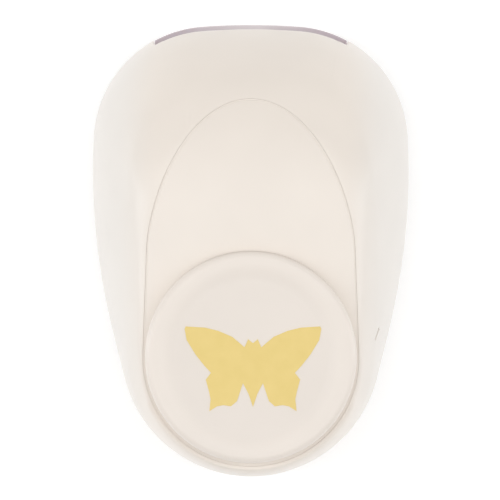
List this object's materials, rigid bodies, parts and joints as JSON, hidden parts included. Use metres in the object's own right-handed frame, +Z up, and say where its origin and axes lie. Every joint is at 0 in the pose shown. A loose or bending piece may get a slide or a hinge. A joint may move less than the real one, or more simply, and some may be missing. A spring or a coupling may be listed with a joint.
{
  "type": "craft punch",
  "caption": "Lever craft punch for paper: egg-shaped cream body, round press pad with a butterfly print, and a sprung butterfly punch and die inside.",
  "frame": {"origin": "on the surface the punch stands on, under the middle of its bounding box", "axes": "+Z up from the feet; +Y towards the paper mouth, the press pad is at -Y; +X to the right, along the lever's axle"},
  "size_m": [0.0798, 0.1144, 0.055],
  "materials": {
    "cream_shell": "smooth glossy moulded cream plastic",
    "cream_pad": "smooth glossy moulded cream plastic, a shade warmer",
    "yellow_print": "flat printed pale yellow",
    "lilac_lip": "smoke-lilac tinted plastic",
    "black_rubber": "matt rubber",
    "black_plastic": "fine matt moulding",
    "steel": "ground steel",
    "spring_steel": "drawn spring wire",
    "dark_steel": "plated screws and clips"
  },
  "bodies": {
    "body": {"housing": "cream_shell", "base": "cream_shell", "slot_lip": "lilac_lip", "foot_1": "black_rubber", "foot_2": "black_rubber", "foot_3": "black_rubber", "foot_4": "black_rubber", "housing_screw_1": "dark_steel", "housing_screw_2": "dark_steel", "housing_screw_3": "dark_steel", "housing_screw_4": "dark_steel", "housing_screw_5": "dark_steel", "housing_screw_6": "dark_steel", "die_screw_1": "dark_steel", "die_screw_2": "dark_steel", "die_screw_3": "dark_steel", "die_screw_4": "dark_steel", "axle_clip_right": "dark_steel", "axle_clip_left": "dark_steel", "die_plate": "steel", "rear_spacer": "steel", "guide_plate": "steel", "guide_post_1": "steel", "guide_post_2": "steel", "guide_post_3": "steel", "guide_post_4": "steel", "lever_axle": "steel", "return_spring_1": "spring_steel", "return_spring_2": "spring_steel", "return_spring_3": "spring_steel", "return_spring_4": "spring_steel"},
    "lever": {"press_lever": "cream_shell", "pad_cap": "cream_pad", "butterfly_print": "yellow_print"},
    "punch": {"punch": "steel", "punch_plate": "steel", "press_block": "black_plastic", "block_screw_1": "dark_steel", "block_screw_2": "dark_steel"}
  },
  "joints": [
    {"name": "lever_hinge", "type": "hinge", "parent": "body", "child": "lever", "pos_m": [0, 0.038, 0.035], "axis": [1, 0, 0], "range_deg": [0, 10], "stiffness_Nm_per_rad": 4, "springref_deg": -5.73},
    {"name": "punch_slide", "type": "slide", "parent": "body", "child": "punch", "axis": [0, 0, -1], "range_m": [0, 0.00305], "deforming": ["return_spring_1", "return_spring_2", "return_spring_3", "return_spring_4"]}
  ],
  "couplings": [
    {"joint": "punch_slide", "follows": "lever_hinge", "m_per_rad": 0.01715}
  ]
}
